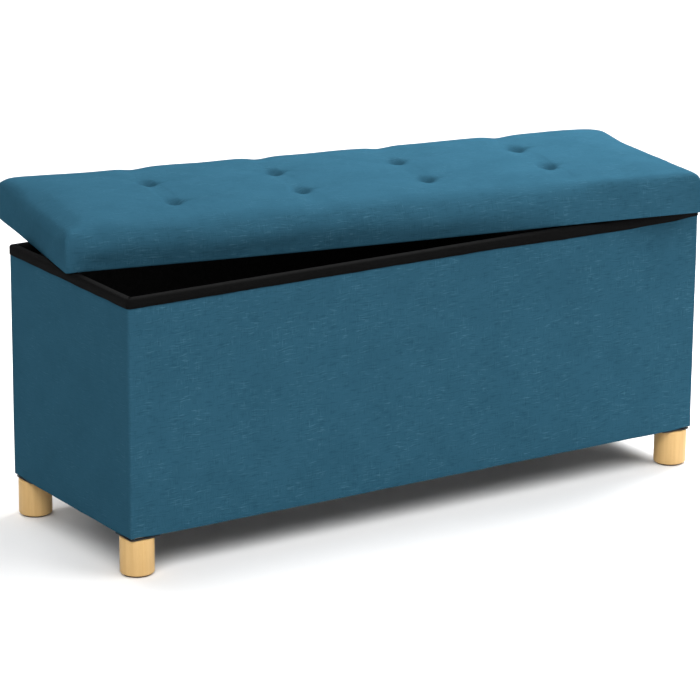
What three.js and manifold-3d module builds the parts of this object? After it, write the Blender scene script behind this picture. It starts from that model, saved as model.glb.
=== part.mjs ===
// Upholstered storage bench: a fabric-covered box on four short round legs, with a loose tufted lid
// that lies askew on the box's rim. Millimetres, +Z up, +X along the bench, +Y towards its back.
// The origin is on the floor under the middle of the lid. The lid overhangs the box on every side,
// so the origin is also the middle of the whole bench's outline with the lid in that place.

import * as THREE from "three";
import { mergeVertices } from "three/addons/utils/BufferGeometryUtils.js";
import Module from "manifold-3d";

const wasm = await Module();
wasm.setup();

// ---------- driving dimensions ----------

const FIT = 0.3; // gap between pieces that touch

// The box, over its fabric.
const BOX_LENGTH = 1000;
const BOX_DEPTH = 352;
const BOX_CORNER = 3; // radius of its upright edges
const FABRIC_HEIGHT = 340; // from the underside to the lower edge of the rim binding
const FOOT_HEIGHT = 59; // from the floor to the underside

// Its walls, from outside to inside.
const COVER = 1.2; // woven cover
const PANEL = 8; // fibreboard wall panel
const LINING = 0.8; // non-woven lining
const BASE_BOARD = 12;
const HEM = 20; // width of the cover turned under the base

// The binding folded over the top of the walls.
const BINDING = 1.2;
const RIM_HEIGHT = 14; // outer leg
const RIM_INNER_LEG = 18;
const RIM_CORNER = 6;

// Legs and what holds them.
const LEG_RADIUS = 25;
const LEG_INSET = 23; // leg axis from the box's two faces
const LEG_EDGE = 3; // rounding of the leg's lower edge
const PLATE = 52; // side of the square corner plate
const PLATE_THICKNESS = 2.5;
const PLATE_EDGE = 0.5; // plate's outer edges from the box's faces
const GLIDE_RADIUS = 21;
const GLIDE_HEIGHT = 2;
const BOLT_RADIUS = 4;
const BOLT_DEPTH_IN_LEG = 28;
const SCREW_RADIUS = 1.75;
const SCREW_HEAD_RADIUS = 3.5;
const SCREW_LENGTH = 12.5;
const SCREW_NEAR = 14; // screws from the box's two faces, near and far
const SCREW_FAR = 44;
const NUT_FLANGE_RADIUS = 9.5;
const NUT_FLANGE = 1.5;
const NUT_BARREL_RADIUS = 5.5;
const NUT_BARREL = 9;

// The lid.
const LID_LENGTH = 1008;
const LID_DEPTH = 360;
const LID_HEIGHT = 68; // at its crown
const LID_CORNER = 8; // radius of its upright edges
const CROWN_RISE = 24; // the padded top rises this much,
const CROWN_RUN = 60; // over this far in from the edges
const LID_BOARD = 12;
const LID_HEM = 25; // width of the cover turned under the board
const LID_LINING_INSET = 12;
const LID_TURN = THREE.MathUtils.degToRad(-11.5); // how far it lies askew
const BOX_CENTRE = [-19, -60]; // of the box, from the middle of the lid

// Tufts: two rows along the lid, each held down by a tie that goes through foam and board.
const TUFTS_PER_ROW = 4;
const TUFT_PITCH = 200;
const TUFT_ROW = 60; // each row from the lid's long centre line
const TUFT_TOP = 52; // knot height over the lid's underside
const TIE_RADIUS = 1.2;
const KNOT_RADIUS = 4;
const KNOT_HEIGHT = 2;
const ANCHOR_RADIUS = 8; // washer under the board

// ---------- worked-out levels and outlines ----------

const RIM_TOP = FOOT_HEIGHT + FABRIC_HEIGHT + RIM_HEIGHT;
const WALL_TOP = RIM_TOP - BINDING - FIT;
const HEM_TOP = FOOT_HEIGHT + COVER;
const BASE_LOW = HEM_TOP + FIT;
const BASE_TOP = BASE_LOW + BASE_BOARD;
const PANEL_OUT = COVER + FIT; // outer face of a panel, from the box's face
const PANEL_IN = PANEL_OUT + PANEL;
const LINING_OUT = PANEL_IN + FIT;
const WALL = LINING_OUT + LINING;
const PLATE_TOP = FOOT_HEIGHT - FIT;
const PLATE_LOW = PLATE_TOP - PLATE_THICKNESS;
const LEG_TOP = PLATE_LOW - FIT;
const LEG_LOW = GLIDE_HEIGHT + FIT;
const LID_LOW = RIM_TOP + FIT;

const COLOURS = {
  fabric: 0x2f5f7a,
  black: 0x161617,
  wood: 0xe3bd86,
  fibreboard: 0xa98a63,
  foam: 0xe9e2c8,
  steel: 0x8d9196,
  plate: 0x1b1b1c,
  felt: 0x4a3f36,
  thread: 0x2b5568,
};

// ---------- geometry helpers ----------

// A closed three.js geometry as a manifold-3d solid.
function solid(geometry) {
  const bare = geometry.index ? geometry.toNonIndexed() : geometry.clone();
  bare.deleteAttribute("normal");
  bare.deleteAttribute("uv");
  const merged = mergeVertices(bare, 1e-4);
  return new wasm.Manifold(
    new wasm.Mesh({
      numProp: 3,
      vertProperties: merged.attributes.position.array,
      triVerts: new Uint32Array(merged.index.array),
    }),
  );
}

// A manifold-3d solid as a three.js geometry.
function geometryOf(made) {
  const { vertProperties, triVerts } = made.getMesh();
  const geometry = new THREE.BufferGeometry();
  geometry.setAttribute("position", new THREE.BufferAttribute(vertProperties, 3));
  geometry.setIndex(new THREE.BufferAttribute(triVerts, 1));
  geometry.computeVertexNormals();
  return geometry;
}

// A rectangle with round corners, centred on the origin.
function roundedRectangle(length, depth, radius) {
  const x = length / 2;
  const y = depth / 2;
  const shape = new THREE.Shape();
  shape.moveTo(-x + radius, -y);
  shape.lineTo(x - radius, -y);
  shape.absarc(x - radius, -y + radius, radius, -Math.PI / 2, 0);
  shape.lineTo(x, y - radius);
  shape.absarc(x - radius, y - radius, radius, 0, Math.PI / 2);
  shape.lineTo(-x + radius, y);
  shape.absarc(-x + radius, y - radius, radius, Math.PI / 2, Math.PI);
  shape.lineTo(-x, -y + radius);
  shape.absarc(-x + radius, -y + radius, radius, Math.PI, 1.5 * Math.PI);
  return shape;
}

// An upright prism with round corners, from one level to another.
function prism(length, depth, radius, low, high, arcSteps = 4) {
  const shape = roundedRectangle(length, depth, radius);
  const options = { depth: high - low, bevelEnabled: false, curveSegments: arcSteps };
  return solid(new THREE.ExtrudeGeometry(shape, options).translate(0, 0, low));
}

// The same with a crowned top: from every edge it rises in a quarter of an ellipse.
function crownedPrism(length, depth, radius, rise, run, low, high) {
  const flat = new THREE.Shape();
  const x = length / 2 - run;
  const y = depth / 2 - run;
  flat.setFromPoints([[-x, -y], [x, -y], [x, y], [-x, y]].map((at) => new THREE.Vector2(...at)));
  const options = {
    depth: high - low,
    bevelThickness: rise,
    bevelSize: run,
    bevelSegments: 5,
  };
  const crowned = new THREE.ExtrudeGeometry(flat, options).translate(0, 0, low - rise);
  return solid(crowned).intersect(prism(length, depth, radius, low, high));
}

function box(length, depth, height, x, y, low) {
  return new THREE.BoxGeometry(length, depth, height).translate(x, y, low + height / 2);
}

// A turned piece: [radius, height] points from the axis, up the outside and back to the axis.
function turned(profile, steps) {
  const points = profile.map(([r, z]) => new THREE.Vector2(r, z));
  return new THREE.LatheGeometry(points, steps).rotateX(Math.PI / 2);
}

// A plain round bar along Z, which serves as a drill.
function drill(radius, low, high, [x, y], steps = 10) {
  const bar = new THREE.CylinderGeometry(radius, radius, high - low, steps).rotateX(Math.PI / 2);
  return solid(bar.translate(x, y, (low + high) / 2));
}

function drilled(made, holes, radius, low, high, steps) {
  return holes.reduce((left, at) => left.subtract(drill(radius, low, high, at, steps)), made);
}

function piece(name, geometry, colour, roughness = 0.9, metalness = 0) {
  const mesh = new THREE.Mesh(
    geometry,
    new THREE.MeshStandardMaterial({ color: colour, roughness, metalness }),
  );
  mesh.name = name;
  return mesh;
}

// ---------- where the legs, screws and tufts are ----------

// The four corners of the box: name, and the directions from its middle.
const CORNERS = [
  ["front_left", -1, -1],
  ["front_right", 1, -1],
  ["back_left", -1, 1],
  ["back_right", 1, 1],
];

// A point given by its distances from the two faces that meet at a corner.
function fromCorner([, sideX, sideY], insetX, insetY) {
  return [sideX * (BOX_LENGTH / 2 - insetX), sideY * (BOX_DEPTH / 2 - insetY)];
}

const legAxis = (corner) => fromCorner(corner, LEG_INSET, LEG_INSET);

function screwPlaces(corner) {
  const insets = [SCREW_NEAR, SCREW_FAR];
  return insets.flatMap((x) => insets.map((y) => fromCorner(corner, x, y)));
}

const legAxes = CORNERS.map(legAxis);
const allScrews = CORNERS.flatMap(screwPlaces);

function tuftPlaces() {
  const first = (-TUFT_PITCH * (TUFTS_PER_ROW - 1)) / 2;
  const columns = Array.from({ length: TUFTS_PER_ROW }, (_, i) => first + i * TUFT_PITCH);
  return [-TUFT_ROW, TUFT_ROW].flatMap((y) => columns.map((x) => [x, y]));
}

const tufts = tuftPlaces();

// ---------- the box ----------

function wallPanels() {
  const height = WALL_TOP - BASE_LOW;
  const longSide = BOX_LENGTH - 2 * PANEL_OUT;
  const shortSide = BOX_DEPTH - 2 * (PANEL_IN + FIT);
  const atY = BOX_DEPTH / 2 - PANEL_OUT - PANEL / 2;
  const atX = BOX_LENGTH / 2 - PANEL_OUT - PANEL / 2;
  const panel = (name, geometry) => piece(name, geometry, COLOURS.fibreboard);
  return [
    panel("front_panel", box(longSide, PANEL, height, 0, -atY, BASE_LOW)),
    panel("back_panel", box(longSide, PANEL, height, 0, atY, BASE_LOW)),
    panel("left_end_panel", box(PANEL, shortSide, height, -atX, 0, BASE_LOW)),
    panel("right_end_panel", box(PANEL, shortSide, height, atX, 0, BASE_LOW)),
  ];
}

// The board that the legs are bolted to. It lies between the wall panels.
function baseBoard() {
  const length = BOX_LENGTH - 2 * LINING_OUT;
  const depth = BOX_DEPTH - 2 * LINING_OUT;
  let board = solid(box(length, depth, BASE_BOARD, 0, 0, BASE_LOW));
  board = drilled(board, legAxes, NUT_BARREL_RADIUS + FIT, BASE_LOW - 1, BASE_TOP + 1, 12);
  const recess = BASE_TOP - NUT_FLANGE - 2 * FIT;
  board = drilled(board, legAxes, NUT_FLANGE_RADIUS + FIT, recess, BASE_TOP + 1, 16);
  const screwTop = PLATE_LOW + SCREW_LENGTH + FIT;
  board = drilled(board, allScrews, SCREW_RADIUS + FIT, BASE_LOW - 1, screwTop, 8);
  return piece("base_board", geometryOf(board), COLOURS.fibreboard);
}

// The woven cover: a sleeve round the four walls, with its hem turned under the base.
function outerCover() {
  const inner = [BOX_LENGTH - 2 * COVER, BOX_DEPTH - 2 * COVER, 0.9];
  const hemEdge = [BOX_LENGTH - 2 * HEM, BOX_DEPTH - 2 * HEM, 1];
  let sleeve = prism(BOX_LENGTH, BOX_DEPTH, BOX_CORNER, FOOT_HEIGHT, WALL_TOP);
  sleeve = sleeve.subtract(prism(...inner, HEM_TOP, WALL_TOP + 1));
  sleeve = sleeve.subtract(prism(...hemEdge, FOOT_HEIGHT - 1, HEM_TOP + 1));
  const through = [FOOT_HEIGHT - 1, HEM_TOP + 1];
  sleeve = drilled(sleeve, allScrews, SCREW_RADIUS + FIT, ...through, 8);
  sleeve = drilled(sleeve, legAxes, BOLT_RADIUS + FIT, ...through, 12);
  return piece("outer_cover", geometryOf(sleeve), COLOURS.fabric, 0.95);
}

// The black non-woven sheet that closes the underside inside the hem.
function bottomCloth() {
  const length = BOX_LENGTH - 2 * (HEM + FIT);
  const depth = BOX_DEPTH - 2 * (HEM + FIT);
  const low = FOOT_HEIGHT;
  const high = low + LINING;
  let cloth = prism(length, depth, 1, low, high);
  cloth = drilled(cloth, legAxes, BOLT_RADIUS + FIT, low - 1, high + 1, 12);
  const inside = CORNERS.map((corner) => fromCorner(corner, SCREW_FAR, SCREW_FAR));
  cloth = drilled(cloth, inside, SCREW_RADIUS + FIT, low - 1, high + 1, 8);
  return piece("bottom_cloth", geometryOf(cloth), COLOURS.black);
}

// The black tub that lines the storage space.
function innerLining() {
  const length = BOX_LENGTH - 2 * LINING_OUT;
  const depth = BOX_DEPTH - 2 * LINING_OUT;
  const low = BASE_TOP + FIT;
  const hollow = [length - 2 * LINING, depth - 2 * LINING, 1];
  const tub = prism(length, depth, 1.5, low, WALL_TOP);
  const lining = tub.subtract(prism(...hollow, low + LINING, WALL_TOP + 1));
  return piece("inner_lining", geometryOf(lining), COLOURS.black);
}

// The binding: a channel folded over the top edges of cover, panels and lining.
function rimBinding() {
  const proud = 2 * (BINDING + FIT);
  const channelOut = [BOX_LENGTH + 2 * FIT, BOX_DEPTH + 2 * FIT, BOX_CORNER + FIT];
  const channelIn = [BOX_LENGTH - 2 * (WALL + FIT), BOX_DEPTH - 2 * (WALL + FIT), 1];
  const opening = [channelIn[0] - 2 * BINDING, channelIn[1] - 2 * BINDING, 2];
  const innerLow = RIM_TOP - RIM_INNER_LEG;
  const outerLow = RIM_TOP - RIM_HEIGHT;
  const hood = prism(BOX_LENGTH + proud, BOX_DEPTH + proud, RIM_CORNER, outerLow, RIM_TOP);
  const inner = prism(...channelIn, innerLow, outerLow + 1);
  const channel = prism(...channelOut, outerLow - 1, WALL_TOP + FIT).subtract(
    prism(...channelIn, outerLow - 2, RIM_TOP),
  );
  const ring = hood
    .add(inner)
    .subtract(channel)
    .subtract(prism(...opening, innerLow - 1, RIM_TOP + 1));
  return piece("rim_binding", geometryOf(ring), COLOURS.black, 0.85);
}

// ---------- one foot: plate, screws, leg, bolt, nut and glide ----------

function cornerPlate(corner) {
  const middle = PLATE_EDGE + PLATE / 2;
  const [x, y] = fromCorner(corner, middle, middle);
  let plate = solid(box(PLATE, PLATE, PLATE_THICKNESS, x, y, PLATE_LOW));
  const through = [PLATE_LOW - 1, PLATE_TOP + 1];
  plate = drilled(plate, [legAxis(corner)], BOLT_RADIUS + FIT, ...through, 12);
  plate = drilled(plate, screwPlaces(corner), SCREW_RADIUS + FIT, ...through, 8);
  const sink = screwPlaces(corner).map(([sx, sy]) => solid(countersink(FIT).translate(sx, sy, 0)));
  const finished = sink.reduce((left, cone) => left.subtract(cone), plate);
  return piece(`corner_plate_${corner[0]}`, geometryOf(finished), COLOURS.plate, 0.6, 0.3);
}

// The cone under a screw's head, which leaves a clearance round it.
function countersink(clearance) {
  const low = PLATE_LOW - clearance;
  const wide = SCREW_HEAD_RADIUS + 2 * clearance;
  const deep = wide - SCREW_RADIUS;
  return turned(
    [
      [0, low],
      [wide, low],
      [wide - deep, low + deep],
      [0, low + deep],
    ],
    8,
  );
}

function screw([x, y], name) {
  const neck = PLATE_LOW + SCREW_HEAD_RADIUS - SCREW_RADIUS;
  const tip = PLATE_LOW + SCREW_LENGTH;
  const profile = [
    [0, PLATE_LOW],
    [SCREW_HEAD_RADIUS, PLATE_LOW],
    [SCREW_RADIUS, neck],
    [SCREW_RADIUS, tip - 2],
    [0, tip],
  ];
  return piece(name, turned(profile, 8).translate(x, y, 0), COLOURS.steel, 0.35, 0.9);
}

function leg(corner) {
  const bore = BOLT_RADIUS + FIT;
  const boreLow = LEG_TOP - BOLT_DEPTH_IN_LEG - FIT;
  const edge = LEG_EDGE * (1 - Math.SQRT1_2);
  const profile = [
    [0, LEG_LOW],
    [LEG_RADIUS - LEG_EDGE, LEG_LOW],
    [LEG_RADIUS - edge, LEG_LOW + edge],
    [LEG_RADIUS, LEG_LOW + LEG_EDGE],
    [LEG_RADIUS, LEG_TOP - 1],
    [LEG_RADIUS - 1, LEG_TOP],
    [bore, LEG_TOP],
    [bore, boreLow],
    [0, boreLow],
  ];
  const geometry = turned(profile, 24).translate(...legAxis(corner), 0);
  return piece(`leg_${corner[0]}`, geometry, COLOURS.wood, 0.5);
}

function hangerBolt(corner) {
  const low = LEG_TOP - BOLT_DEPTH_IN_LEG;
  const high = BASE_TOP - FIT;
  const profile = [
    [0, low],
    [BOLT_RADIUS - 1.5, low + 1],
    [BOLT_RADIUS, low + 6],
    [BOLT_RADIUS, high - 1],
    [BOLT_RADIUS - 1, high],
    [0, high],
  ];
  const geometry = turned(profile, 12).translate(...legAxis(corner), 0);
  return piece(`hanger_bolt_${corner[0]}`, geometry, COLOURS.steel, 0.35, 0.9);
}

// A nut whose flange lies in a recess in the base board's top, with its barrel in the board.
function teeNut(corner) {
  const high = BASE_TOP - FIT;
  const under = high - NUT_FLANGE;
  const low = high - NUT_BARREL;
  const bore = BOLT_RADIUS + FIT;
  const profile = [
    [bore, low],
    [NUT_BARREL_RADIUS, low],
    [NUT_BARREL_RADIUS, under],
    [NUT_FLANGE_RADIUS, under],
    [NUT_FLANGE_RADIUS, high],
    [bore, high],
    [bore, low],
  ];
  const geometry = turned(profile, 16).translate(...legAxis(corner), 0);
  return piece(`tee_nut_${corner[0]}`, geometry, COLOURS.steel, 0.35, 0.9);
}

function glide(corner) {
  const profile = [
    [0, 0],
    [GLIDE_RADIUS - 0.5, 0],
    [GLIDE_RADIUS, 0.5],
    [GLIDE_RADIUS, GLIDE_HEIGHT],
    [0, GLIDE_HEIGHT],
  ];
  const geometry = turned(profile, 24).translate(...legAxis(corner), 0);
  return piece(`glide_${corner[0]}`, geometry, COLOURS.felt, 0.95);
}

function foot(corner) {
  const screws = screwPlaces(corner).map((at, i) => screw(at, `plate_screw_${corner[0]}_${i + 1}`));
  return [
    cornerPlate(corner),
    ...screws,
    leg(corner),
    hangerBolt(corner),
    teeNut(corner),
    glide(corner),
  ];
}

// ---------- the lid, from its underside up ----------

const LID_HEM_LOW = LINING + FIT;
const LID_BOARD_LOW = LID_HEM_LOW + COVER + FIT;
const LID_BOARD_TOP = LID_BOARD_LOW + LID_BOARD;

// The lid's outline, drawn in by a distance.
function lidOutline(inset) {
  return [LID_LENGTH - 2 * inset, LID_DEPTH - 2 * inset, Math.max(LID_CORNER - inset, 1)];
}

function lidCover() {
  const crown = [CROWN_RISE, CROWN_RUN];
  const outer = crownedPrism(...lidOutline(0), ...crown, LID_HEM_LOW, LID_HEIGHT);
  const hollowLow = LID_HEM_LOW + COVER;
  const hollow = crownedPrism(...lidOutline(COVER), ...crown, hollowLow, LID_HEIGHT - COVER);
  const mouth = prism(...lidOutline(LID_HEM), LID_HEM_LOW - 1, hollowLow + 1);
  return piece("lid_cover", geometryOf(outer.subtract(hollow).subtract(mouth)), COLOURS.fabric, 0.95);
}

function lidBoard() {
  const board = prism(...lidOutline(COVER + FIT), LID_BOARD_LOW, LID_BOARD_TOP);
  const drills = [TIE_RADIUS + FIT, LID_BOARD_LOW - 1, LID_BOARD_TOP + 1, 8];
  return piece("lid_board", geometryOf(drilled(board, tufts, ...drills)), COLOURS.fibreboard);
}

function lidFoam() {
  const low = LID_BOARD_TOP + FIT;
  const high = LID_HEIGHT - COVER - FIT;
  const knotLow = TUFT_TOP - KNOT_HEIGHT - FIT;
  let foam = crownedPrism(...lidOutline(COVER + FIT), CROWN_RISE, CROWN_RUN, low, high);
  foam = drilled(foam, tufts, TIE_RADIUS + FIT, low - 1, knotLow + 1, 8);
  foam = drilled(foam, tufts, KNOT_RADIUS + FIT, knotLow, high + 1, 8);
  return piece("lid_foam", geometryOf(foam), COLOURS.foam);
}

function lidLining() {
  const sheet = prism(...lidOutline(LID_LINING_INSET), 0, LINING);
  return piece("lid_lining", geometryOf(sheet), COLOURS.black);
}

// A tie: washer under the board, thread through board and foam, and the knot that pulls the tuft in.
function tuftTie([x, y], index) {
  const profile = [
    [0, LID_HEM_LOW],
    [ANCHOR_RADIUS, LID_HEM_LOW],
    [ANCHOR_RADIUS, LID_HEM_LOW + COVER],
    [TIE_RADIUS, LID_HEM_LOW + COVER],
    [TIE_RADIUS, TUFT_TOP - KNOT_HEIGHT],
    [KNOT_RADIUS, TUFT_TOP - KNOT_HEIGHT],
    [KNOT_RADIUS, TUFT_TOP],
    [0, TUFT_TOP],
  ];
  const name = `tuft_tie_${index + 1}`;
  return piece(name, turned(profile, 8).translate(x, y, 0), COLOURS.thread);
}

// ---------- the assembly ----------

const boxGroup = new THREE.Group();
boxGroup.position.set(...BOX_CENTRE, 0);
boxGroup.add(...wallPanels(), baseBoard(), outerCover(), bottomCloth(), innerLining(), rimBinding());
boxGroup.add(...CORNERS.flatMap(foot));

const lidGroup = new THREE.Group();
lidGroup.position.z = LID_LOW;
lidGroup.rotation.z = LID_TURN;
lidGroup.add(lidBoard(), lidFoam(), lidCover(), lidLining(), ...tufts.map(tuftTie));

const bench = new THREE.Group();
bench.add(boxGroup, lidGroup);

export default bench;
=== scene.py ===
"""The looks of the upholstered storage bench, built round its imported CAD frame. Metres, +Z up."""

import math

import bpy
import numpy as np
from mathutils import Matrix, Vector


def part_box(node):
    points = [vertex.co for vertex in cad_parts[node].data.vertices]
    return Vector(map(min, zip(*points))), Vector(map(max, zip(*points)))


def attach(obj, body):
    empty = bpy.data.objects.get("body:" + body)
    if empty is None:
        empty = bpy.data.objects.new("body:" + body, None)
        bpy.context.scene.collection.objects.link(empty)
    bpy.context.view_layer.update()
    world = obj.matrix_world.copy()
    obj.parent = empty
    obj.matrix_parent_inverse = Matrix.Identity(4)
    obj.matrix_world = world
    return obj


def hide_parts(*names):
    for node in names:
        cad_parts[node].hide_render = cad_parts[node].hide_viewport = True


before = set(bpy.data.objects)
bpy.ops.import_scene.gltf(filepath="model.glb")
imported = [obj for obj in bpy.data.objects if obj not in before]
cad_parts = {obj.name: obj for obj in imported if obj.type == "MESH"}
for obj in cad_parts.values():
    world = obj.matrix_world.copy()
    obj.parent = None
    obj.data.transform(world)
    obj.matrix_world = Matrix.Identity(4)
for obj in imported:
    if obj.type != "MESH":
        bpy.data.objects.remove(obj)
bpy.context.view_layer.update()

MM = 0.001

# ---------- sizes that the frame doesn't hold ----------

LID_LENGTH = 1008 * MM
LID_DEPTH = 360 * MM
LID_TURN = math.radians(-11.5)
LID_CORNER = 8 * MM
COVER = 1.2 * MM  # thickness of the cloth
PULL = (8 * MM, 6 * MM)  # how far each tuft's thread draws its pocket to the left and the front
GRID = 7 * MM  # spacing of the points in cloth and tape
FINE_GRID = 2.4 * MM  # and round the tufts

CORNER_NAMES = ("front_left", "front_right", "back_left", "back_right")

# ---------- the frame's places ----------

cover_low, cover_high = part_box("outer_cover")
rim_low, rim_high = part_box("rim_binding")
lid_low, lid_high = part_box("lid_cover")
BOX_MIDDLE = (cover_low + cover_high) / 2
BOX_LENGTH = cover_high.x - cover_low.x
BOX_DEPTH = cover_high.y - cover_low.y
RIM_TOP = rim_high.z
LID_MIDDLE = Vector(((lid_low.x + lid_high.x) / 2, (lid_low.y + lid_high.y) / 2, RIM_TOP))
LID_UNDERSIDE = lid_low.z - LID_MIDDLE.z  # heights in the lid are from its middle, on the rim


def centre_of(node):
    low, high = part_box(node)
    return (low + high) / 2


def tuft_places():
    """The tufts' pockets in the lid's own directions, from its middle. Each lies a little to the
    front left of where its thread is knotted."""
    back_turn = Matrix.Rotation(-LID_TURN, 3, "Z")
    found = []
    for index in range(1, 9):
        place = back_turn @ (centre_of(f"tuft_tie_{index}") - LID_MIDDLE)
        found.append((place.x - PULL[0], place.y - PULL[1]))
    return found


# ---------- mesh helpers ----------


def new_object(name, mesh, material, body):
    piece = bpy.data.objects.new(name, mesh)
    bpy.context.scene.collection.objects.link(piece)
    piece.data.materials.clear()
    piece.data.materials.append(material)
    piece.data.polygons.foreach_set("use_smooth", [True] * len(piece.data.polygons))
    if body:
        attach(piece, body)
    return piece


def mesh_of(name, points, faces):
    mesh = bpy.data.meshes.new(name)
    mesh.from_pydata([tuple(p) for p in points], [], [tuple(f) for f in faces])
    mesh.validate()
    mesh.update()
    return mesh


def grid_faces(rows, columns, closed_rows=False, closed_columns=False):
    """Quads of a grid whose points are numbered row by row."""
    made = []
    for i in range(rows if closed_rows else rows - 1):
        for j in range(columns if closed_columns else columns - 1):
            a = i * columns + j
            b = i * columns + (j + 1) % columns
            k = (i + 1) % rows
            made.append((a, b, k * columns + (j + 1) % columns, k * columns + j))
    return made


def smooth_step(value, start, end):
    t = np.clip((value - start) / (end - start), 0, 1)
    return t * t * (3 - 2 * t)


def bell(value, width):
    return np.exp(-((value / width) ** 2))


def waves(points, size, seed):
    """A smooth random field between about -1 and 1, the same each run: a sum of sines."""
    generator = np.random.default_rng(seed)
    total = np.zeros(len(points))
    for _ in range(9):
        direction = generator.normal(size=3)
        direction /= np.linalg.norm(direction)
        length = size * generator.uniform(0.6, 1.7)
        phase = generator.uniform(0, 2 * math.pi)
        total += np.sin(points @ direction * (2 * math.pi / length) + phase)
    return total / 4.5


def rounded_rectangle(length, depth, radius, step, arc_steps=5):
    """Points round a rectangle with round corners, anticlockwise from the front's left end,
    their outward directions, and each one's distance along the outline from the nearest corner."""
    points, outward, from_corner = [], [], []
    x, y = length / 2 - radius, depth / 2 - radius
    corners = [(-x, -y, math.pi), (x, -y, -math.pi / 2), (x, y, 0), (-x, y, math.pi / 2)]
    for index, (cx, cy, start) in enumerate(corners):
        for i in range(arc_steps + 1):
            angle = start + math.pi / 2 * i / arc_steps
            direction = (math.cos(angle), math.sin(angle))
            points.append((cx + radius * direction[0], cy + radius * direction[1]))
            outward.append(direction)
            from_corner.append(0.0)
        side = 2 * x if index % 2 == 0 else 2 * y
        last = points[-1]
        nx, ny = corners[(index + 1) % 4][:2]
        run = (nx - cx, ny - cy)
        count = max(2, round(side / step))
        for i in range(1, count):
            share = i / count
            points.append((last[0] + run[0] * share, last[1] + run[1] * share))
            outward.append(outward[-1])
            from_corner.append(min(share, 1 - share) * side)
    return np.array(points), np.array(outward), np.array(from_corner)


# ---------- material helpers ----------


class Nodes:
    """A material's node tree, with short calls for what the materials below repeat."""

    NORMAL, PLACE = 1, 3  # outputs of the Texture Coordinate node

    def __init__(self, name):
        self.material = bpy.data.materials.new(name)
        self.material.use_nodes = True
        self.tree = self.material.node_tree
        self.shader = self.tree.nodes["Principled BSDF"]

    def coordinates(self, output=PLACE):
        return self.add("TexCoord", output=output)

    def add(self, kind, inputs=(), output=0, **settings):
        made = self.tree.nodes.new("ShaderNode" + kind)
        for key, value in settings.items():
            setattr(made, key, value)
        for key, value in dict(inputs).items():
            self.put(made.inputs[key], value)
        return made.outputs[output]

    def put(self, socket, value):
        if isinstance(value, bpy.types.NodeSocket):
            self.tree.links.new(value, socket)
        else:
            socket.default_value = value

    def math(self, operation, a, b=0.0):
        return self.add("Math", {0: a, 1: b}, operation=operation)

    def noise(self, vector, scale, detail=2.0, roughness=0.5):
        inputs = {"Vector": vector, "Scale": scale, "Detail": detail, "Roughness": roughness}
        return self.add("TexNoise", inputs)

    def stretch(self, vector, x, y, z):
        """The vector with each direction divided by a size in metres."""
        return self.add("VectorMath", {0: vector, 1: (1 / x, 1 / y, 1 / z)}, operation="MULTIPLY")

    def ramp(self, value, low, high):
        return self.add("MapRange", {0: value, 1: low, 2: high}, interpolation_type="SMOOTHSTEP")

    def choose(self, share, a, b):
        """One number mixed into another."""
        return self.add("Mix", {0: share, 2: a, 3: b}, data_type="FLOAT")

    def mix(self, share, a, b):
        """One colour mixed into another."""
        inputs = {0: share, 6: a, 7: b}
        return self.add("Mix", inputs, output=2, data_type="RGBA", clamp_factor=True)

    def bump(self, height, distance, strength=1.0):
        return self.add("Bump", {"Height": height, "Distance": distance, "Strength": strength})

    def finish(self, colour, roughness, normal=None, **constants):
        self.put(self.shader.inputs["Base Color"], colour)
        self.put(self.shader.inputs["Roughness"], roughness)
        if normal is not None:
            self.put(self.shader.inputs["Normal"], normal)
        for key, value in constants.items():
            self.shader.inputs[key.replace("_", " ")].default_value = value
        return self.material


def cloth_coordinates(n, ends_run_down):
    """(along the weft, along the warp, on an end or not, level or not), in metres, on a box.
    The weft runs level round the piece, or on over the ends of a lid."""
    place = n.coordinates()
    normal = n.coordinates(Nodes.NORMAL)
    facing = n.add("VectorMath", {0: normal}, operation="ABSOLUTE")
    facing_x, facing_y, facing_z = n.add("SeparateXYZ", {0: facing}).node.outputs
    x, y, z = n.add("SeparateXYZ", {0: place}).node.outputs
    sideways = n.math("GREATER_THAN", facing_x, facing_y)
    steeply = n.math("GREATER_THAN", facing_x, facing_z)
    end = n.math("MULTIPLY", sideways, steeply)
    upright = n.math("MAXIMUM", facing_x, facing_y)
    level = n.math("GREATER_THAN", facing_z, upright)
    if ends_run_down:
        weft = n.choose(end, x, z)
        warp = n.choose(level, n.choose(end, z, y), y)
    else:
        weft = n.choose(end, x, y)
        warp = n.choose(level, z, y)
    return weft, warp, end, level


def plain_weave(n, weft, warp):
    """1 along the middle of each thread and 0 at its sides, weft and warp on top by turns."""
    pitch = 1.25 * MM
    across = n.math("DIVIDE", weft, pitch)
    down = n.math("DIVIDE", warp, pitch)
    crossing = n.math("ADD", n.math("FLOOR", across), n.math("FLOOR", down))
    parity = n.math("PINGPONG", crossing, 1.0)
    over = n.math("SINE", n.math("MULTIPLY", n.math("FRACT", across), math.pi))
    under = n.math("SINE", n.math("MULTIPLY", n.math("FRACT", down), math.pi))
    return n.choose(parity, over, under)


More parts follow.
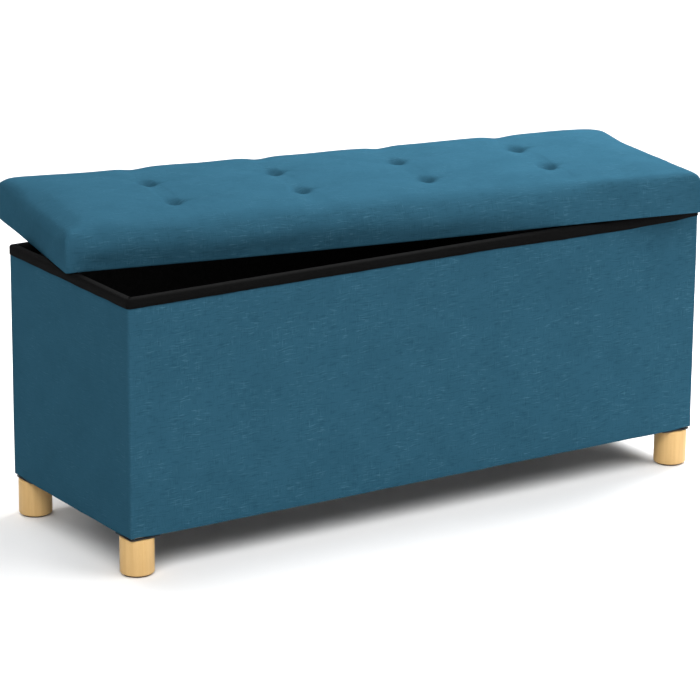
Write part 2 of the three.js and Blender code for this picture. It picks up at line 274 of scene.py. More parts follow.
def linen(name, ends_run_down=False):
    """Petrol-blue linen-look cloth: a plain weave with slubs in both directions."""
    n = Nodes(name)
    weft, warp, on_end, level = cloth_coordinates(n, ends_run_down)
    flat = n.add("CombineXYZ", {0: weft, 1: warp})

    # Threads that thicken and thin along their length, the thick ones in loose clusters.
    drift = n.noise(flat, 30.0, 2.0)
    strayed = n.math("ADD", warp, n.math("MULTIPLY", drift, 9 * MM))
    bent = n.add("CombineXYZ", {0: weft, 1: strayed})
    slub = n.noise(n.stretch(bent, 19 * MM, 1.9 * MM, 1), 1.0, 1.0, 0.5)
    fine_slub = n.noise(n.stretch(flat, 5 * MM, 0.9 * MM, 1), 1.0, 2.0)
    upright_slub = n.noise(n.stretch(flat, 1.9 * MM, 16 * MM, 1), 1.0, 1.0, 0.5)
    cluster = n.ramp(n.noise(flat, 20.0, 3.0), 0.36, 0.60)
    cloudy = n.noise(flat, 14.0, 4.0, 0.6)
    weave = plain_weave(n, weft, warp)

    dark = (0.0128, 0.0492, 0.0775, 1)
    middle = (0.0225, 0.0775, 0.119, 1)
    light = (0.0500, 0.134, 0.186, 1)
    # The slubs show less on the ends and the top, which are lit along their threads.
    quiet = n.math("ADD", n.math("MULTIPLY", on_end, 0.6), n.math("MULTIPLY", level, 0.45))
    strength = n.math("SUBTRACT", 1.0, quiet)

    def patch(value, low, high, amount, by_cluster):
        share = n.math("MULTIPLY", n.ramp(value, low, high), amount)
        share = n.math("MULTIPLY", share, strength)
        return n.math("MULTIPLY", share, cluster) if by_cluster else share

    colour = n.mix(patch(slub, 0.46, 0.30, 0.45, False), middle, dark)
    colour = n.mix(patch(slub, 0.60, 0.72, 0.70, True), colour, light)
    colour = n.mix(patch(fine_slub, 0.64, 0.80, 0.25, False), colour, light)
    colour = n.mix(patch(upright_slub, 0.62, 0.76, 0.45, True), colour, light)
    colour = n.mix(patch(upright_slub, 0.42, 0.30, 0.30, False), colour, dark)
    colour = n.mix(n.math("MULTIPLY", n.ramp(cloudy, 0.38, 0.66), 0.20), colour, dark)
    # Painted shade: each thread is darkened towards its sides, down in the grooves between the
    # threads.
    colour = n.mix(n.math("MULTIPLY", n.math("SUBTRACT", 1.0, weave), 0.22), colour, dark)

    height = n.math("ADD", weave, n.math("MULTIPLY", slub, 2.2))
    height = n.math("ADD", height, n.math("MULTIPLY", upright_slub, 1.2))
    normal = n.bump(height, 0.14 * MM, 0.7)
    return n.finish(colour, 0.92, normal, Specular_IOR_Level=0.0)


def black_cloth(name, shade, pitch, relief):
    """Black pressed or woven cloth with a fine point pattern."""
    n = Nodes(name)
    place = n.coordinates()
    points = n.add("TexVoronoi", {"Vector": place, "Scale": 1 / pitch}, feature="F1")
    lint = n.noise(place, 260.0, 3.0)
    colour = n.mix(lint, (shade * 0.7,) * 3 + (1,), (shade * 1.5,) * 3 + (1,))
    height = n.math("ADD", points, n.math("MULTIPLY", lint, 0.8))
    normal = n.bump(height, relief)
    return n.finish(colour, 0.9, normal, Specular_IOR_Level=0.03)


def beech(name):
    """Light beech under satin lacquer, its faint grain upright, with the short flecks of beech."""
    late_wood, early_wood = (0.56, 0.352, 0.136, 1), (0.62, 0.403, 0.170, 1)
    fleck_brown, warm_patch = (0.46, 0.24, 0.07, 1), (0.68, 0.44, 0.18, 1)
    n = Nodes(name)
    place = n.coordinates()
    stripes = n.noise(n.stretch(place, 7 * MM, 7 * MM, 180 * MM), 1.0, 4.0, 0.6)
    flecks = n.noise(n.stretch(place, 0.9 * MM, 0.9 * MM, 7 * MM), 1.0, 2.0)
    tint = n.noise(n.stretch(place, 45 * MM, 45 * MM, 120 * MM), 1.0, 1.0)
    colour = n.mix(n.ramp(stripes, 0.32, 0.68), late_wood, early_wood)
    colour = n.mix(n.math("MULTIPLY", n.ramp(flecks, 0.60, 0.72), 0.18), colour, fleck_brown)
    colour = n.mix(n.math("MULTIPLY", n.ramp(tint, 0.4, 0.7), 0.20), colour, warm_patch)
    normal = n.bump(n.math("ADD", stripes, n.math("MULTIPLY", flecks, 0.5)), 0.10 * MM, 0.5)
    roughness = n.add("MapRange", {0: stripes, 3: 0.42, 4: 0.55})
    return n.finish(colour, roughness, normal, Specular_IOR_Level=0.3)


def fibreboard(name):
    n = Nodes(name)
    place = n.coordinates()
    fibres = n.noise(n.stretch(place, 3 * MM, 3 * MM, 3 * MM), 1.0, 5.0, 0.7)
    colour = n.mix(fibres, (0.26, 0.17, 0.09, 1), (0.46, 0.33, 0.20, 1))
    return n.finish(colour, 0.85, n.bump(fibres, 0.1 * MM))


def painted_steel(name):
    n = Nodes(name)
    place = n.coordinates()
    peel = n.noise(place, 900.0, 2.0)
    worn = n.noise(place, 60.0, 4.0)
    colour = n.mix(n.ramp(worn, 0.45, 0.75), (0.010, 0.010, 0.011, 1), (0.022, 0.022, 0.024, 1))
    roughness = n.add("MapRange", {0: worn, 3: 0.42, 4: 0.6})
    return n.finish(colour, roughness, n.bump(peel, 0.05 * MM))


def zinc(name):
    n = Nodes(name)
    place = n.coordinates()
    bloom = n.noise(place, 400.0, 3.0)
    colour = n.mix(bloom, (0.46, 0.47, 0.48, 1), (0.66, 0.66, 0.64, 1))
    roughness = n.add("MapRange", {0: bloom, 3: 0.25, 4: 0.45})
    return n.finish(colour, roughness, n.bump(bloom, 0.02 * MM), Metallic=1.0)


def felt(name):
    n = Nodes(name)
    place = n.coordinates()
    hair = n.noise(place, 1500.0, 4.0, 0.7)
    colour = n.mix(hair, (0.045, 0.033, 0.026, 1), (0.10, 0.078, 0.06, 1))
    return n.finish(colour, 0.95, n.bump(hair, 0.3 * MM), Specular_IOR_Level=0.15)


# ---------- the lid's cushion ----------

TUFTS = tuft_places()
FACE_TOP = 49 * MM  # where the end faces start to roll over
ROLL_TOP = 61.5 * MM  # the flat of the top, before its crown
BOARD_TOP = 15 * MM  # up to here the faces lie against the lid's board
END_RUN = 15 * MM  # how far in the ends roll over
CROWN_RISE = 5 * MM
CROWN_RUN = 80 * MM
POCKET = 19 * MM  # radius of a tuft's pocket


def edge_lines(length, tufts):
    """Grid lines across a length, closer together at both rolled ends and at the tufts."""
    near = [0, 1.2 * MM, 3.4 * MM, 6.6 * MM, 11 * MM, 16 * MM]
    least_gap = 3 * MM
    lines = [at - length / 2 for at in near]
    while lines[-1] < length / 2 - near[-1]:
        gap = min(abs(lines[-1] - tuft) for tuft in tufts)
        lines.append(lines[-1] + (FINE_GRID if gap < POCKET else GRID))
    ends = [length / 2 - at for at in reversed(near)]
    while lines[-1] > ends[0] - least_gap:
        lines.pop()
    return np.array(lines + ends)


def box_grid(xs, ys, zs):
    """A closed box of quads on the given grid lines: its points and its faces."""
    last = (len(xs) - 1, len(ys) - 1, len(zs) - 1)
    index, points, faces = {}, [], []

    def vertex(at):
        if at not in index:
            index[at] = len(points)
            points.append((xs[at[0]], ys[at[1]], zs[at[2]]))
        return index[at]

    for axis in range(3):
        one, two = (axis + 1) % 3, (axis + 2) % 3
        for fixed, outward in ((0, False), (last[axis], True)):
            for i in range(last[one]):
                for j in range(last[two]):
                    ring = []
                    for di, dj in ((0, 0), (1, 0), (1, 1), (0, 1)):
                        at = [0, 0, 0]
                        at[axis], at[one], at[two] = fixed, i + di, j + dj
                        ring.append(vertex(tuple(at)))
                    faces.append(ring if outward else ring[::-1])
    return np.array(points), faces


def rise(value, run, power):
    """From 0 at an edge to 1 a run away from it, along a quarter of a superellipse."""
    share = 1 - np.clip(value / run, 0, 1)
    return (1 - share**power) ** (1 / power)


def tuft_dip(x, y, tx, ty, seed):
    """How far the top is drawn down round one tuft."""
    dx, dy = x - tx, y - ty
    hollow = 2.5 * MM * bell(np.hypot(dx / 1.3, dy), 45 * MM)
    # The pocket reaches further to the right of the tuft than to the left.
    across = np.where(dx > 0, dx / 1.2, dx / 0.65)
    pocket = 12.5 * MM * (1 - smooth_step(np.hypot(across, dy / 1.4), 0, POCKET))
    return hollow + pocket + tuft_fold(dx, dy, seed) + tuft_crease(dx, dy, ty)


def tuft_fold(dx, dy, seed):
    """The fold that runs out to both sides of a tuft, longer and deeper to the right."""
    generator = np.random.default_rng(seed)
    turn = math.radians(-10 + generator.uniform(-8, 8))
    along = dx * math.cos(turn) + dy * math.sin(turn)
    aside = -dx * math.sin(turn) + dy * math.cos(turn) - 4 * MM
    right, left = generator.uniform(30, 44) * MM, generator.uniform(16, 24) * MM
    reach = np.where(along > 0, along / right, -along / left)
    depth = (1 - smooth_step(reach, 0.25, 1.0)) * np.where(along > 0, 5.0, 3.0) * MM
    return depth * bell(aside, 4.5 * MM) * (1 - 0.7 * bell(np.hypot(dx, dy), 9 * MM))


def tuft_crease(dx, dy, ty):
    """The soft crease that runs on from a tuft over the nearer long edge, deeper at the back."""
    outward = np.sign(ty) * dy
    depth = 2.8 * MM if ty > 0 else 0.3 * MM
    width = (13 + 60 * outward) * MM
    crease = smooth_step(outward, 45 * MM, 105 * MM) * depth
    return crease * bell(dx - PULL[0] - outward * 0.07, width)


def firmness(x):
    """The foam is soft at the lid's left and middle, 0, and firm at its right end, 1."""
    return smooth_step(x, 235 * MM, 365 * MM)


def side_run(x, y):
    """How far the long faces lean in as they roll over, all the way up from the hem. The roll
    is tight at the front's corners, and nearly so wherever the foam is firm."""
    tight, slack, back = 14, 24, 20
    from_end = LID_LENGTH / 2 - np.abs(x)
    front = (tight + slack * smooth_step(from_end, 3 * MM, 48 * MM) * (1 - 0.8 * firmness(x))) * MM
    return np.where(y < 0, front, back * MM)


def side_lean(run, z):
    """How far in a long face is at a height: it follows a quarter of an ellipse."""
    climb = np.clip((z - BOARD_TOP) / (ROLL_TOP - BOARD_TOP), 0, 1)
    return run * (1 - np.sqrt(1 - climb**2))


def side_roll(run, inset):
    """How far the same ellipse has risen, from the faces' top, 0, to the flat of the top, 1."""
    over = np.clip(1 - inset / run, 0, 1)
    height = BOARD_TOP + (ROLL_TOP - BOARD_TOP) * np.sqrt(1 - over**2)
    return np.clip((height - FACE_TOP) / (ROLL_TOP - FACE_TOP), 0, 1)


def soft_end(x, y):
    """Where the left end has the least padding: in front of its back corner."""
    return (1 - smooth_step(y, 20 * MM, 140 * MM)) * (x < 0)


def rolled_top(x, y, from_end, from_side, rolled):
    """How high the top is over the faces: rolled over at its edges, crowned and worn."""
    # The ends roll over slowly at the back, and tightly at the front right corner.
    settled = smooth_step(y, -170 * MM, 150 * MM) * (x > 0)
    square = (1 - smooth_step(y, -172 * MM, -120 * MM)) * (x > 0)
    slack = smooth_step(y, 40 * MM, 175 * MM) * (x < 0)
    soft = soft_end(x, y)
    end_run = END_RUN + (33 * settled + 14 * slack - 2 * soft - 6 * square) * MM
    roll = rise(from_end, end_run, 2.1 - 0.3 * soft) * rolled
    plump = 0.62 + 0.64 * smooth_step(x, 80 * MM, 250 * MM)
    crown = smooth_step(from_end, 4 * MM, CROWN_RUN) * smooth_step(from_side, 4 * MM, CROWN_RUN)
    height = (ROLL_TOP - FACE_TOP) * roll + CROWN_RISE * crown * plump
    # The padding has sunk at the right end, and a little along the back.
    sunk = settled * (1 - 0.7 * smooth_step(y, 60 * MM, 170 * MM))
    height = height - 4.5 * MM * sunk * smooth_step(x, 410 * MM, 485 * MM)
    low_back = smooth_step(y, 0, 120 * MM) * smooth_step(from_end, 30 * MM, 110 * MM)
    return height - 1.6 * MM * low_back * (1 - smooth_step(x, 120 * MM, 260 * MM))


def end_fall(x, y, from_end, from_side):
    """How far the top slopes down towards the soft left end."""
    slope = 1 - smooth_step(from_end, 0, 44 * MM)
    return (4 + 4.5 * smooth_step(from_side, 0, 60 * MM)) * MM * soft_end(x, y) * slope


def rounded_plan(x, y, half, lean, share):
    """The points seen from above, once the upright edges are rounded, most at the back right."""
    radius = LID_CORNER * np.where((y < 0) | (x < 0), 0.5, 0.7 + 0.4 * share)
    limit = half[1] - lean
    core_x = np.clip(x, -half[0] + radius, half[0] - radius)
    core_y = np.clip(y, -limit + radius, limit - radius)
    core = np.stack([core_x, core_y], axis=1)
    away = np.column_stack([x, y]) - core
    reach = np.linalg.norm(away, axis=1)
    drawn = np.abs(away).max(axis=1) / np.maximum(reach, 1e-9)
    drawn = np.where(reach > 1e-9, drawn, 1.0)
    return core + away * drawn[:, None]


def lid_shape(points):
    """The cushion before it is blown up: the grid's box with its corners and edges rolled."""
    half = np.array([LID_LENGTH / 2, LID_DEPTH / 2])
    x, y, z = points.T
    from_end, from_side = half[0] - np.abs(x), half[1] - np.abs(y)
    share = np.clip((z - LID_UNDERSIDE) / (FACE_TOP - LID_UNDERSIDE), 0, 1)
    on_top = z > FACE_TOP - 1e-6

    run = side_run(x, y)
    lean = side_lean(run, z)
    drawn_in = lean * (1 - smooth_step(from_side, 12 * MM, 90 * MM))
    y = y - np.sign(y) * drawn_in
    height = rolled_top(x, y, from_end, from_side, side_roll(run, from_side + drawn_in))

    # What the tufts draw down, which is less at the very edge.
    dips = sum(tuft_dip(x, y, tx, ty, 40 + i) for i, (tx, ty) in enumerate(TUFTS))
    inside = smooth_step(np.minimum(from_end, from_side), 0, 6 * MM)
    height = height - dips * np.clip(inside + 0.55, 0, 1)
    top = np.where(on_top, FACE_TOP + height, z)
    top = top - end_fall(x, y, from_end, from_side) * share

    # Where the foam is soft the front bellies out above the board.
    plan = rounded_plan(x, y, half, lean, share)
    soft_front = (1 - firmness(x)) * (y < 0)
    belly = smooth_step(z, 6 * MM, 36 * MM) * smooth_step(from_end, 0, 40 * MM)
    belly = belly * (1 - smooth_step(from_side, 0, 60 * MM))
    plan[:, 1] -= 4.5 * MM * soft_front * belly
    return np.column_stack([plan, top])


def lid_pins(points):
    """How firmly each point is held: fully at the stapled hem and in the tufts' pockets, and
    not at all a little away from them."""
    x, y, z = points.T
    held = 1 - smooth_step(z, LID_UNDERSIDE + 2 * MM, LID_UNDERSIDE + 16 * MM)
    for tx, ty in TUFTS:
        held = np.maximum(held, 1 - smooth_step(np.hypot(x - tx, y - ty), 10 * MM, 17 * MM))
    return held


def mesh_points(mesh):
    flat = np.empty(len(mesh.vertices) * 3, np.float32)
    mesh.vertices.foreach_get("co", flat)
    return flat.reshape(-1, 3).astype(float)


def evened(mesh, moved, rounds):
    """Each point's move averaged with its neighbours', so that the grid's spacing doesn't show."""
    ends = np.empty(len(mesh.edges) * 2, np.int32)
    mesh.edges.foreach_get("vertices", ends)
    one, two = ends.reshape(-1, 2).T
    places = mesh_points(mesh)
    length = np.linalg.norm(places[one] - places[two], axis=1)
    weight = np.clip(length / GRID, 0.1, 1.0)
    total = np.bincount(one, weight, len(moved)) + np.bincount(two, weight, len(moved))
    for _ in range(rounds):
        near = np.zeros_like(moved)
        for axis in range(3):
            near[:, axis] += np.bincount(one, weight * moved[two, axis], len(moved))
            near[:, axis] += np.bincount(two, weight * moved[one, axis], len(moved))
        moved = 0.5 * moved + 0.5 * near / total[:, None]
    return moved


def blown_up(piece, points, held, share, cap):
    """The piece's points after pressure has filled it by a share, none moved more than the cap."""
    last_frame, rounds = 20, 30
    group = piece.vertex_groups.new(name="held")
    for index in np.nonzero(held > 0.01)[0]:
        group.add([int(index)], float(held[index]), "REPLACE")
    cloth = piece.modifiers.new("padding", "CLOTH")
    settings = cloth.settings
    settings.quality = 6
    settings.mass = 0.25
    settings.tension_stiffness = settings.compression_stiffness = 12
    settings.shear_stiffness = 6
    settings.bending_stiffness = 0.4
    settings.use_pressure = True
    settings.uniform_pressure_force = 4.0
    settings.shrink_min = -0.012
    settings.vertex_group_mass = "held"
    settings.effector_weights.gravity = 0
    cloth.point_cache.frame_start, cloth.point_cache.frame_end = 1, last_frame
    scene = bpy.context.scene
    for frame_number in range(1, last_frame + 1):
        scene.frame_set(frame_number)
    filled = piece.evaluated_get(bpy.context.evaluated_depsgraph_get())
    moved = evened(piece.data, (mesh_points(filled.data) - points) * share, rounds)
    moved *= 1 - held[:, None]
    far = np.linalg.norm(moved, axis=1)
    piece.modifiers.remove(cloth)
    scene.frame_set(1)
    return points + moved * (cap * np.tanh(far / cap) / np.maximum(far, 1e-9))[:, None]


def pleat_relief(from_end, from_side):
    """A pleat lies flat against each long face beside its upright edges."""
    pleat = smooth_step(from_end, 1 * MM, 5 * MM) * (1 - smooth_step(from_end, 10 * MM, 13 * MM))
    face = 1 - smooth_step(from_side, 0.5 * MM, 8 * MM)
    return pleat * face * 1.1 * MM


def hem_rise(x, y, z):
    """How far the hem is off its level. It sags where nothing is under it, which is over the
    open box and past the rim at the back left, and it rides up at the front right."""
    from_left, from_front = x + LID_LENGTH / 2, y + LID_DEPTH / 2
    low = 1 - smooth_step(z, 2 * MM, 30 * MM)
    front = 1 - smooth_step(from_front, 0, 25 * MM)
    open_run = np.clip(from_left / (LID_LENGTH / 2 + 235 * MM), 0, 1)
    sag = np.sin(open_run * math.pi) * low
    raised = smooth_step(x, 200 * MM, 340 * MM) * (1 - smooth_step(z, 2 * MM, 26 * MM))
    overhang = smooth_step(y, 60 * MM, 140 * MM) * (1 - smooth_step(from_left, 0, 60 * MM))
    return (1.4 * raised * front - 1.6 * sag * front - 1.4 * overhang * low) * MM


def lid_details(points):
    """What the sewing and the handling add: corner pleats, soft ripples and an uneven hem."""
    x, y, z = points.T
    from_end, from_side = LID_LENGTH / 2 - np.abs(x), LID_DEPTH / 2 - np.abs(y)
    side = 1 - smooth_step(from_side, 2 * MM, 30 * MM)
    upright = smooth_step(z, 3 * MM, 14 * MM)
    ripple = waves(points * np.array([1, 1, 1.6]), 70 * MM, 8) * 0.9 * MM
    ripple = ripple + waves(points, 28 * MM, 9) * 0.25 * MM
    made = points.copy()
    made[:, 1] += np.sign(y) * np.maximum(ripple, -0.3 * MM) * side * upright
    made[:, 1] += np.sign(y) * pleat_relief(from_end, from_side)
    made[:, 2] += ripple * smooth_step(z, 50 * MM, 60 * MM) * (0.35 + 0.65 * side)
    made[:, 2] += hem_rise(x, y, z)
    return made


def lid_cushion(material):
    """The padded cover, blown up between its stapled hem and its tufts."""
    xs = edge_lines(LID_LENGTH, [x for x, _ in TUFTS])
    ys = edge_lines(LID_DEPTH, [y for _, y in TUFTS])
    zs = np.linspace(LID_UNDERSIDE, FACE_TOP, 9)
    points, faces = box_grid(xs, ys, zs)
    points = lid_shape(points)
    mesh = mesh_of("lid_cushion", points, faces)
    cushion = new_object("lid_cushion", mesh, material, None)
    points = blown_up(cushion, points, lid_pins(points), share=0.4, cap=4 * MM)
    points = lid_details(points)
    cushion.data.vertices.foreach_set("co", points.astype(np.float32).ravel())
    cushion.data.update()
    smoother = cushion.modifiers.new("smoother", "SUBSURF")
    smoother.levels = smoother.render_levels = 1
    cushion.rotation_euler.z = LID_TURN
    cushion.location = LID_MIDDLE
    bpy.context.view_layer.update()
    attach(cushion, "lid")
    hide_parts("lid_cover", "lid_foam")
    return cushion


# ---------- the box's cover and binding ----------


def sleeve_rows(height):
    """The cover's section, from its turned-under edge up: (distance out from the wall, height)."""
    fold = 1.6 * MM  # radius of the fold at the hem
    rows = [(-20 * MM, 0.0), (-8 * MM, 0.0), (-fold, 0.0)]
    for i in range(1, 4):
        angle = math.pi / 2 * i / 4
        rows.append((-fold + fold * math.sin(angle), fold - fold * math.cos(angle)))
    return rows + [(0.0, z) for z in np.linspace(fold, height, 48)]


def box_cover(material):
    """The woven cover: a taut sleeve whose turned-under hem rides up a little at the corners."""
    outline, outward, from_corner = rounded_rectangle(BOX_LENGTH, BOX_DEPTH, 3.5 * MM, GRID)
    columns = len(outline)
    height = cover_high.z - cover_low.z
    rows = sleeve_rows(height)
    points = []
    for inset, z in rows:
        ring = outline + outward * inset
        points.append(np.column_stack([ring, np.full(columns, cover_low.z + z)]))
    points = np.concatenate(points)
    level = np.repeat([z for _, z in rows], columns)
    drawn_in = np.repeat([inset for inset, _ in rows], columns)
    near = np.tile(from_corner, len(rows))
    normal = np.tile(outward, (len(rows), 1))
    spot = points.copy()

    # The fabric is pulled over flat boards: it waves by less than half a millimetre.
    quiet = smooth_step(level, 0, 25 * MM) * (1 - smooth_step(level, height - 30 * MM, height))
    wave = waves(spot, 160 * MM, 11) * 0.35 * MM * quiet
    points[:, :2] += normal * wave[:, None]
    lift = bell(near, 34 * MM) * (1.5 + 0.5 * np.sin(near / (7 * MM))) * MM
    ripple = waves(spot, 60 * MM, 5) * 0.35 * MM
    near_hem = (1 - smooth_step(level, 0, 14 * MM)) * smooth_step(drawn_in, -12 * MM, 0)
    points[:, 2] += (lift + ripple + 0.3 * MM) * near_hem
    points[:, :2] += np.array([BOX_MIDDLE.x, BOX_MIDDLE.y])
    mesh = mesh_of("box_cover", points, grid_faces(len(rows), columns, closed_columns=True))
    cover = new_object("box_cover", mesh, material, "box")
    thick = cover.modifiers.new("cloth", "SOLIDIFY")
    thick.thickness = COVER
    thick.offset = -1
    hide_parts("outer_cover")
    return cover


def binding_profile():
    """The folded tape's section: (distance in from the outer face, height from the rim's top)."""
    wall = 12.1 * MM  # the board, its cover and the tape's inner leaf
    width = (rim_high.y - rim_low.y - BOX_DEPTH) / 2 + wall
    drop_out, drop_in, fold, thick = 14 * MM, 18 * MM, 3.5 * MM, COVER
    outer = [(0.0, -drop_out)]
    inner = [(thick, -drop_out)]
    for i in range(5):
        angle = math.pi / 2 * i / 4
        turn = (1 - math.cos(angle), math.sin(angle) - 1)
        outer.append((fold * turn[0], fold * turn[1]))
        inner.append((thick + (fold - thick) * turn[0], -thick + (fold - thick) * turn[1]))
    for i in range(5):
        angle = math.pi / 2 * i / 4
        turn = (1 - math.sin(angle), math.cos(angle) - 1)
        outer.append((width - fold * turn[0], fold * turn[1]))
        inner.append((width - thick - (fold - thick) * turn[0], -thick + (fold - thick) * turn[1]))
    outer.append((width, -drop_in))
    inner.append((width - thick, -drop_in))
    return outer + inner[::-1]


def rim_tape(material):
    """The black tape folded over the walls' top edge, a little loose below its fold."""
    length, depth = rim_high.x - rim_low.x, rim_high.y - rim_low.y
    outline, outward, _ = rounded_rectangle(length, depth, 6 * MM, GRID)
    profile = binding_profile()
    columns = len(outline)
    points = []
    for inset, z in profile:
        # The corners are round outside, and square where the tape has turned over.
        round_part = np.minimum(inset, 5.5 * MM)
        ring = outline - outward * round_part
        squared = np.sign(np.round(outward, 3)) * (inset - round_part)
        ring = ring - np.where(np.abs(outward) > 0.01, squared, 0)
        points.append(np.column_stack([ring, np.full(columns, RIM_TOP + z)]))
    points = np.concatenate(points)
    drop = np.repeat([z for _, z in profile], columns)
    loose = smooth_step(-drop, 1 * MM, 12 * MM)
    points[:, 2] += waves(points, 45 * MM, 21) * 0.5 * MM * loose
    # Painted shadow: along the right half of the front the black tape hangs up to 3.2 mm lower, a
    # dark strip that stands in for the shadow the lid's overhang casts just below the rim.
    x, y, _ = points.T
    lid_shadow_drop = smooth_step(x, 60 * MM, 330 * MM) * (1 - smooth_step(x, 440 * MM, 492 * MM))
    points[:, 2] -= 3.2 * MM * lid_shadow_drop * loose * (y < 0)
    wobble = waves(points, 35 * MM, 22) * 0.25 * MM
    points[:, :2] += np.tile(outward, (len(profile), 1)) * wobble[:, None]
    points[:, :2] += np.array([BOX_MIDDLE.x, BOX_MIDDLE.y])
    faces = grid_faces(len(profile), columns, closed_rows=True, closed_columns=True)
    mesh = mesh_of("rim_tape", points, faces)
    tape = new_object("rim_tape", mesh, material, "box")
    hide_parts("rim_binding")
    return tape


# ---------- the legs ----------


def turned_piece(name, profile, steps, place, material, body):
    """A turned solid from (radius, height) points that start and end on the axis."""
    points, faces = [(0, 0, profile[0][1])], []
    for radius, z in profile[1:-1]:
        for i in range(steps):
            angle = 2 * math.pi * i / steps
            points.append((radius * math.cos(angle), radius * math.sin(angle), z))
    points.append((0, 0, profile[-1][1]))
    rings = len(profile) - 2
    for i in range(steps):
        k = (i + 1) % steps
        faces.append((0, 1 + k, 1 + i))
        base = 1 + (rings - 1) * steps
        faces.append((len(points) - 1, base + i, base + k))
        for ring in range(rings - 1):
            a = 1 + ring * steps
            faces.append((a + i, a + k, a + steps + k, a + steps + i))
    points = np.array(points) + np.array([place[0], place[1], 0])
    return new_object(name, mesh_of(name, points, faces), material, body)


def leg_piece(corner, material):
    """A turned leg, its lower edge rounded and its upper one chamfered."""
    low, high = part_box(f"leg_{corner}")
    middle = (low + high) / 2
    radius = (high.x - low.x) / 2
    edge = 3 * MM
    core, bottom = radius - edge, low.z + edge
    profile = [(0, low.z), (radius - 2 * edge, low.z)]
    for i in range(7):
        angle = math.pi / 2 * i / 6
        profile.append((core + edge * math.sin(angle), bottom - edge * math.cos(angle)))
    profile += [(radius, low.z + 20 * MM), (radius, high.z - 1.2 * MM)]
    profile += [(radius - 0.4 * MM, high.z - 0.4 * MM), (radius - 1.2 * MM, high.z), (0, high.z)]
    leg = turned_piece(f"wood_leg_{corner}", profile, 96, middle, material, "box")
    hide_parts(f"leg_{corner}")
    return leg


# ---------- the corner plates ----------


def plate_piece(corner, material):
    """A thin pressed plate with round corners, its edges bent a little by the hem round it."""
    low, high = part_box(f"corner_plate_{corner}")
    middle = (low + high) / 2
    side, thick = high.x - low.x - 2.4 * MM, 1.5 * MM
    outline, _, _ = rounded_rectangle(side, side, 5 * MM, 6 * MM, 4)
    shares = (1.0, 0.8, 0.6, 0.4, 0.2)
    columns = len(outline)
    under, over = np.full(columns, -thick / 2), np.full(columns, thick / 2)
    rings = [np.column_stack([outline * share, under]) for share in shares[::-1]]
    rings += [np.column_stack([outline * share, over]) for share in shares]
    points = np.concatenate(rings)
    spread = np.abs(points[:, :2]).max(axis=1) / (side / 2)
    place = points + np.array([middle.x, middle.y, 0])
    bend = waves(place, 26 * MM, 31) * 0.55 * MM * smooth_step(spread, 0.6, 1.0)
    points[:, 2] += bend + high.z - thick / 2 - 0.5 * MM
    points[:, :2] += np.array([middle.x, middle.y])
    faces = grid_faces(len(rings), columns, closed_columns=True)
    first, last = len(points), len(points) + 1
    caps = np.array([[middle.x, middle.y, points[0, 2]], [middle.x, middle.y, points[-1, 2]]])
    for j in range(columns):
        k = (j + 1) % columns
        faces.append((first, k, j))
        base = (len(rings) - 1) * columns
        faces.append((last, base + j, base + k))
    mesh = mesh_of(f"foot_plate_{corner}", np.concatenate([points, caps]), faces)
    plate = new_object(f"foot_plate_{corner}", mesh, material, "box")
    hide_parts(f"corner_plate_{corner}")
    return plate


# ---------- the carried-over CAD nodes ----------


def dress_cad_nodes():
    """Every CAD node gets a material: the walls, the base and the lid's board are fibreboard, and
    the glides' edges are softened."""
    lining = black_cloth("lining_cloth", 0.075, 1.6 * MM, 0.12 * MM)
    plated = zinc("zinc_plate")
    finishes = {
        "inner_lining": lining,
        "bottom_cloth": lining,
        "lid_lining": lining,
        "plate_screw": plated,
        "hanger_bolt": plated,
        "tee_nut": plated,
        "glide": felt("glide_felt"),
        "tuft_tie": linen("tie_thread"),
    }
    board = fibreboard("fibreboard")
    for name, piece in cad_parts.items():
        kind = next((key for key in finishes if name.startswith(key)), None)
        piece.data.materials.clear()
        piece.data.materials.append(finishes[kind] if kind else board)
        if kind == "glide":
            bevel = piece.modifiers.new("edges", "BEVEL")
            bevel.width = 0.4 * MM
            bevel.segments = 2
            bevel.limit_method = "ANGLE"


# ---------- floor, light and camera ----------

CAMERA_YAW = math.radians(32.94)
CAMERA_PITCH = math.radians(16.53)
CAMERA_ROLL = math.radians(0.33)
CAMERA_AWAY = 5.424
CAMERA_LENS = 185.3
# The place that the camera looks at, from the box's front left lower corner.
CAMERA_AIM = Vector((0.4776, 0.1710, 0.1637))

WORLD_LIGHT = 0.08
# Each soft sun's strength, its spread, and the compass and height it shines from, in degrees.
SUNS = {
    "front_left": (1.84, 38, -45, 45),
    "front_right": (1.54, 38, 45, 45),
    "front": (0.68, 38, -15, 45),
    "behind": (1.18, 40, 178, 22),
    "overhead": (0.72, 30, 185, 72),
    "low_behind": (0.36, 16, 135, 8),
    "low_front": (0.21, 16, 45, 8),
}
PANEL_POWER = 88
PANEL_SIZE = 1.2
PANEL_AWAY = 2.2
PANEL_COMPASS, PANEL_HEIGHT = 107, 50


def floor_plane():
    n = Nodes("floor")
    mottle = n.noise(n.coordinates(), 3.0, 2.0)
    colour = n.mix(mottle, (0.79, 0.79, 0.79, 1), (0.81, 0.81, 0.81, 1))
    n.finish(colour, 0.9, Specular_IOR_Level=0.0)
    half = 30.0
    corners = [(-half, -half, 0), (half, -half, 0), (half, half, 0), (-half, half, 0)]
    floor = new_object("floor", mesh_of("floor", corners, [(0, 1, 2, 3)]), n.material, None)


def from_sky(compass, height):
    """The direction towards a light: compass 0 is the bench's front and 90 its right end."""
    compass, height = math.radians(compass), math.radians(height)
    level = math.cos(height)
    return Vector((math.sin(compass) * level, -math.cos(compass) * level, math.sin(height)))


def lamp_at(name, kind, strength, compass, height):
    lamp = bpy.data.lights.new(name, kind)
    lamp.energy = strength
    holder = bpy.data.objects.new(name, lamp)
    holder.rotation_mode = "QUATERNION"
    holder.rotation_quaternion = (-from_sky(compass, height)).to_track_quat("-Z", "Y")
    bpy.context.scene.collection.objects.link(holder)
    return holder


def soft_sun(name, strength, spread, compass, height):
    lamp_at(name, "SUN", strength, compass, height).data.angle = math.radians(spread)


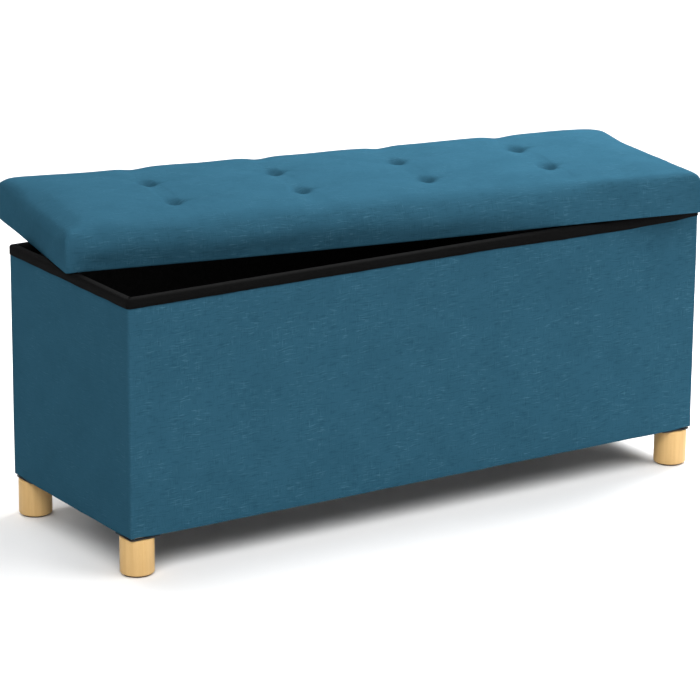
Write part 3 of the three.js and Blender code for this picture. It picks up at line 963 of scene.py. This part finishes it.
def studio():
    """A pale floor under wide soft lights from both front corners, and weaker ones behind."""
    floor_plane()
    world = bpy.data.worlds.new("studio")
    world.use_nodes = True
    background = world.node_tree.nodes["Background"]
    background.inputs["Color"].default_value = (1, 1, 1, 1)
    background.inputs["Strength"].default_value = WORLD_LIGHT
    bpy.context.scene.world = world
    for name, (strength, spread, compass, height) in SUNS.items():
        soft_sun(name, strength, spread, compass, height)
    panel = lamp_at("right_panel", "AREA", PANEL_POWER, PANEL_COMPASS, PANEL_HEIGHT)
    panel.data.size = PANEL_SIZE
    panel.location = Vector((0, 0, 0.3)) + from_sky(PANEL_COMPASS, PANEL_HEIGHT) * PANEL_AWAY


def camera():
    data = bpy.data.cameras.new("camera")
    data.lens = CAMERA_LENS
    data.clip_start, data.clip_end = 0.1, 100
    holder = bpy.data.objects.new("camera", data)
    corner = Vector((cover_low.x, cover_low.y, cover_low.z))
    ahead = Vector(
        (
            math.sin(CAMERA_YAW) * math.cos(CAMERA_PITCH),
            math.cos(CAMERA_YAW) * math.cos(CAMERA_PITCH),
            -math.sin(CAMERA_PITCH),
        )
    )
    right = Vector((math.cos(CAMERA_YAW), -math.sin(CAMERA_YAW), 0))
    up = right.cross(ahead)
    rolled_right = math.cos(CAMERA_ROLL) * right + math.sin(CAMERA_ROLL) * up
    rolled_up = -math.sin(CAMERA_ROLL) * right + math.cos(CAMERA_ROLL) * up
    turn = Matrix((rolled_right, rolled_up, -ahead)).transposed()
    place = Matrix.Translation(corner + CAMERA_AIM - ahead * CAMERA_AWAY)
    holder.matrix_world = place @ turn.to_4x4()
    bpy.context.scene.collection.objects.link(holder)
    bpy.context.scene.camera = holder


# ---------- the scene ----------

camera()
studio()
bpy.context.scene.view_settings.view_transform = "Standard"
paint = painted_steel("plate_paint")
dress_cad_nodes()
lid_cushion(linen("lid_linen", ends_run_down=True))
box_cover(linen("box_linen"))
rim_tape(black_cloth("binding_tape", 0.0036, 0.9 * MM, 0.15 * MM))
wood = beech("beech")
for corner_name in CORNER_NAMES:
    leg_piece(corner_name, wood)
    plate_piece(corner_name, paint)
